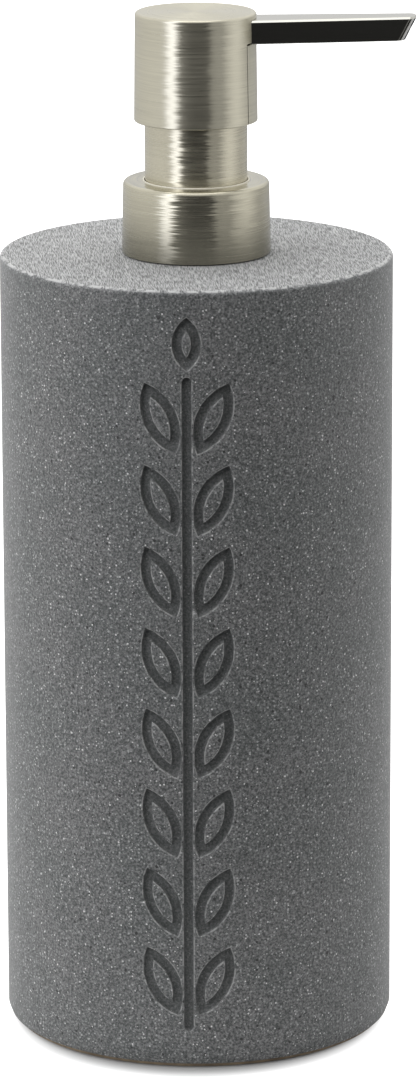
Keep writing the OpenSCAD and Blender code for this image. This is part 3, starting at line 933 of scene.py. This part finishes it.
def make_spring():
    """The return spring: round wire, closed end coils, at its length with the head up."""
    lo, hi = box_mm("return_spring")
    wire = 0.45                                # radius
    coils = 7
    dead = 1                                   # closed coils at each end
    coil_r = hi.x - wire
    length = hi.z - lo.z
    per_coil, sides = 48, 14
    active = (length - 2 * wire - 4 * dead * wire) / (coils - 2 * dead)
    verts, faces = [], []
    steps = coils * per_coil
    for i in range(steps + 1):
        turn = i / per_coil
        if turn <= dead:
            z = turn * 2 * wire
        elif turn >= coils - dead:
            z = length - 2 * wire - (coils - turn) * 2 * wire
        else:
            z = dead * 2 * wire + (turn - dead) * active
        a = 2 * math.pi * turn
        for j in range(sides):
            b = 2 * math.pi * j / sides
            r = coil_r + wire * math.cos(b)
            verts.append((r * math.cos(a), r * math.sin(a), lo.z + wire + z + wire * math.sin(b)))
    for i in range(steps):
        for j in range(sides):
            m = (j + 1) % sides
            faces.append((i * sides + j, i * sides + m, (i + 1) * sides + m, (i + 1) * sides + j))
    faces += [tuple(range(sides)), tuple(range((steps + 1) * sides - 1, steps * sides - 1, -1))]
    piece = new_piece("coil_spring", verts, faces, WIRE, "pump_unit", "spring_steel", ["return_spring"])
    smooth(piece, 50)
    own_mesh(piece)
    return piece


def dress_cad_nodes():
    """Inner pieces keep their CAD shape and get their materials."""
    dress = {
        "base_plug": RESIN, "neck_insert": WHITE, "neck_gasket": RUBBER, "pump_cylinder": CLEAR,
        "ball_retainer": WHITE, "intake_ball": BALL, "dip_tube": CLEAR, "piston": WHITE,
        "stem_wiper": RUBBER, "chaplet": WHITE, "closure_nut": WHITE, "stem": WHITE, "stem_plug": WHITE,
        "discharge_ball": BALL, "actuator_core": DARK, "spout_liner": WHITE}
    for name, material in dress.items():
        mesh = NODES[name].data
        mesh.materials.clear()
        mesh.materials.append(material)


make_bottle()
make_pad()
make_collar()
make_sleeve()
make_head()
make_filler()
make_nozzle()
make_spring()
dress_cad_nodes()


# ---------------------------------------------------------------- camera

# Where the camera stands and looks, fitted to the object's outlines
CAMERA_AZIMUTH = math.radians(3.0)             # from the front, to the right
CAMERA_PITCH = math.radians(14.328)            # downwards
CAMERA_ROLL = math.radians(-0.19)
CAMERA_YAW = math.radians(0.110)               # turned a little to the object's right
CAMERA_DISTANCE = 1.0551                       # metres from the bottle's axis
CAMERA_HEIGHT = 0.3643                         # metres
CAMERA_LENS = 188.45                           # millimetres, on a 36 mm sensor


def make_camera():
    """The camera at its fitted place."""
    place = Vector((CAMERA_DISTANCE * math.sin(CAMERA_AZIMUTH),
                    -CAMERA_DISTANCE * math.cos(CAMERA_AZIMUTH), CAMERA_HEIGHT))
    heading = CAMERA_AZIMUTH - CAMERA_YAW
    level = Vector((-math.sin(heading), math.cos(heading), 0))
    right = Vector((math.cos(heading), math.sin(heading), 0))
    ahead = level * math.cos(CAMERA_PITCH) - Vector((0, 0, math.sin(CAMERA_PITCH)))
    up = right.cross(ahead)
    rolled = right * math.cos(CAMERA_ROLL) + up * math.sin(CAMERA_ROLL)
    up = rolled.cross(ahead)
    camera = bpy.data.objects.new("camera", bpy.data.cameras.new("camera"))
    bpy.context.scene.collection.objects.link(camera)
    camera.matrix_world = Matrix((
        (rolled.x, up.x, -ahead.x, place.x), (rolled.y, up.y, -ahead.y, place.y),
        (rolled.z, up.z, -ahead.z, place.z), (0, 0, 0, 1)))
    camera.data.sensor_width = 36
    camera.data.lens = CAMERA_LENS
    camera.data.clip_start = 0.05
    camera.data.clip_end = 30
    bpy.context.scene.camera = camera


# ---------------------------------------------------------------- floor and light

def plain_material(name, colour):
    """Matt material of one colour."""
    material = bpy.data.materials.new(name)
    material.use_nodes = True
    shader = material.node_tree.nodes["Principled BSDF"]
    shader.inputs["Base Color"].default_value = colour
    shader.inputs["Roughness"].default_value = 0.9
    shader.inputs["Specular IOR Level"].default_value = 0.1
    return material


def stage_mesh(name, verts, faces, material):
    """A mesh in metres that belongs to the stage, not to the object."""
    mesh = bpy.data.meshes.new(name)
    mesh.from_pydata(verts, [], faces)
    mesh.materials.append(material)
    obj = bpy.data.objects.new(name, mesh)
    bpy.context.scene.collection.objects.link(obj)
    return obj


SHADOW_SHIFT = 7.5                             # of the painted shadow's soft dark disc, in front of the foot
FLOOR_HALF = 8.0                               # metres


def make_floor():
    """Pale floor. The one that the camera sees glows a little, the one that lights the object doesn't.

    The glow fades over a soft disc round a point a little in front of the bottle's axis, a painted contact
    shadow.
    """
    s = FLOOR_HALF
    square = [(-s, -s, 0), (s, -s, 0), (s, s, 0), (-s, s, 0)]
    seen = Graph("floor")
    x, y, _ = seen.xyz(seen.place)
    reach = seen.distance_xy(x, seen.math("ADD", y, SHADOW_SHIFT * MM))
    # Painted contact shadow: the glow fades to nothing near the foot.
    glow = seen.step(reach, (BODY_R - SHADOW_SHIFT) * MM, (BODY_R + 1.5) * MM, 0.0, 1.15)
    seen.set(Base_Color=grey(0.38), Roughness=0.9, Specular_IOR_Level=0.1,
             Emission_Color=grey(1.0), Emission_Strength=glow)
    floor = stage_mesh("floor", square, [(0, 1, 2, 3)], seen.material)
    floor.visible_diffuse = False
    floor.visible_glossy = False
    floor.visible_shadow = False
    lower = [(x, y, -0.0005) for x, y, _ in square]
    bounce = stage_mesh("floor_bounce", lower, [(0, 1, 2, 3)], plain_material("floor_bounce", grey(0.36)))
    bounce.visible_camera = False


def make_dark_card():
    """Black card on the floor in front, seen only by bounced and reflected light. In metres."""
    left, right = -0.8, 1.2
    near, far = -2.5, -0.11
    z = 0.001
    corners = [(left, far, z), (right, far, z), (right, near, z), (left, near, z)]
    card = stage_mesh("dark_card", corners, [(0, 1, 2, 3)], plain_material("dark_card", grey(0.01)))
    card.visible_camera = False
    card.visible_shadow = False
    card.visible_transmission = False


# Brightness of the light tent by compass angle from the camera's side, to the right
TENT = ((-180, 0.46), (-160, 0.56), (-140, 0.68), (-100, 0.78), (-70, 0.84), (-59, 0.96), (-54, 1.8),
        (-42, 2.5), (-37, 1.4), (-30, 0.13), (-10, 0.03), (0, 0.022), (24, 0.035), (31, 0.42), (44, 0.46),
        (52, 0.40), (60, 0.70), (72, 0.88), (84, 0.95), (94, 0.82), (104, 0.66),
        (116, 0.50), (126, 0.52), (138, 0.53), (150, 0.46), (165, 0.44), (180, 0.46))
TENT_LEVELS = (-0.3, 0.15, 0.25, 0.42, 1.1)    # heights in metres
TENT_COOL = (0.98, 1.0, 1.10)                  # tint where the tent is strong
TENT_R = 0.46                                  # metres
TENT_COLUMNS = 180


def tent_level(angle, z):
    """Brightness at an angle and height. High up it is at least soft light, more so behind."""
    level = float(np.interp(angle, [t[0] for t in TENT], [t[1] for t in TENT]))
    behind = abs(angle) > 90
    if z > 0.4:
        return max(level, 1.0 if behind else 0.75)
    if z > 0.2 and behind:
        return max(level, 0.76)
    return level


def make_tent():
    """Cylinder of light round the object, a little cooler where it is strong. Only reflections see it."""
    verts, faces, glow = [], [], []
    for z in TENT_LEVELS:
        for k in range(TENT_COLUMNS + 1):
            angle = -180 + 360 * k / TENT_COLUMNS
            a = CAMERA_AZIMUTH + math.radians(angle)
            verts.append((TENT_R * math.sin(a), -TENT_R * math.cos(a), z))
            level = tent_level(angle, z)
            tint = TENT_COOL if level > 1 else (1, 1, 1)
            glow.extend([level * c for c in tint] + [1.0])
    n = TENT_COLUMNS + 1
    for row in range(len(TENT_LEVELS) - 1):
        for k in range(TENT_COLUMNS):
            a = row * n + k
            faces.append((a, a + 1, a + n + 1, a + n))
    material = bpy.data.materials.new("tent")
    material.use_nodes = True
    tree = material.node_tree
    tree.nodes.remove(tree.nodes["Principled BSDF"])
    emission = tree.nodes.new("ShaderNodeEmission")
    attribute = tree.nodes.new("ShaderNodeAttribute")
    attribute.attribute_name = "glow"
    tree.links.new(attribute.outputs["Color"], emission.inputs["Color"])
    tree.links.new(emission.outputs[0], tree.nodes["Material Output"].inputs[0])
    tent = stage_mesh("tent", verts, faces, material)
    layer = tent.data.attributes.new("glow", "FLOAT_COLOR", "POINT")
    layer.data.foreach_set("color", np.array(glow, np.float32))
    tent.visible_camera = False
    tent.visible_diffuse = False
    tent.visible_shadow = False
    tent.visible_transmission = False


def make_world():
    """Soft light from all round, weaker from the camera's side and strongest from above."""
    world = bpy.data.worlds.new("world")
    bpy.context.scene.world = world
    world.use_nodes = True
    tree = world.node_tree
    back = tree.nodes["Background"]

    def node(kind, **settings):
        """A new node of the world."""
        made = tree.nodes.new(kind)
        for key, value in settings.items():
            setattr(made, key, value)
        return made

    place = node("ShaderNodeTexCoord").outputs["Generated"]

    def toward(direction, low, high, to_low, to_high):
        """Ramp over the cosine of the angle from a direction."""
        dot = node("ShaderNodeVectorMath", operation="DOT_PRODUCT")
        tree.links.new(place, dot.inputs[0])
        dot.inputs[1].default_value = Vector(direction).normalized()
        ramp = node("ShaderNodeMapRange", interpolation_type="SMOOTHSTEP")
        tree.links.new(dot.outputs["Value"], ramp.inputs["Value"])
        for key, v in (("From Min", low), ("From Max", high), ("To Min", to_low), ("To Max", to_high)):
            ramp.inputs[key].default_value = v
        return ramp.outputs["Result"]

    def combine(operation, a, b):
        """One arithmetic step. b may be a constant."""
        made = node("ShaderNodeMath", operation=operation)
        tree.links.new(a, made.inputs[0])
        if isinstance(b, bpy.types.NodeSocket):
            tree.links.new(b, made.inputs[1])
        else:
            made.inputs[1].default_value = b
        return made.outputs[0]

    dark_front = toward((0.35, -1, 0.1), 0.30, 0.85, 1.0, 0.26)
    overhead = toward((0, 0.1, 1), 0.35, 0.95, 0.0, 1.0)
    left = toward((-1, -0.35, 0.3), 0.2, 1.0, 0.0, 0.85)
    behind = toward((0, 1, 0.1), 0.0, 1.0, 0.0, 0.7)
    around = combine("ADD", combine("ADD", left, behind), 0.85)
    side = combine("MULTIPLY", dark_front, around)
    tree.links.new(combine("ADD", side, overhead), back.inputs["Strength"])
    back.inputs["Color"].default_value = grey(1.0)


make_camera()
make_floor()
make_dark_card()
make_tent()
make_world()
bpy.context.scene.view_settings.view_transform = "Standard"
